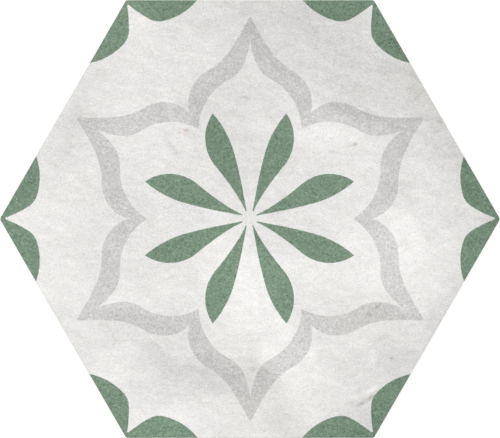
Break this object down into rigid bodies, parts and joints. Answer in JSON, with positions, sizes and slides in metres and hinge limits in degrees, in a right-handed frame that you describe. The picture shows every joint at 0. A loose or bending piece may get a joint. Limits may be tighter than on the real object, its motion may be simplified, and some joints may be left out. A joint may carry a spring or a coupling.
{
  "type": "hexagon floor tile",
  "caption": "Flat six-sided porcelain floor tile with a cement-look face, a printed star and leaf pattern, a rounded arris and a ribbed honeycomb back.",
  "frame": {"origin": "middle of the back, on the tops of its ribs: the plane in which the tile beds", "axes": "+Z is the face's outward normal, +X points to a corner, +Y is the outward normal of the side above the middle as the tile is seen from above"},
  "size_m": [0.1996, 0.175, 0.0085],
  "materials": {
    "glazed_porcelain": "matte"
  },
  "bodies": {
    "root": {"tile": "glazed_porcelain"}
  },
  "joints": []
}
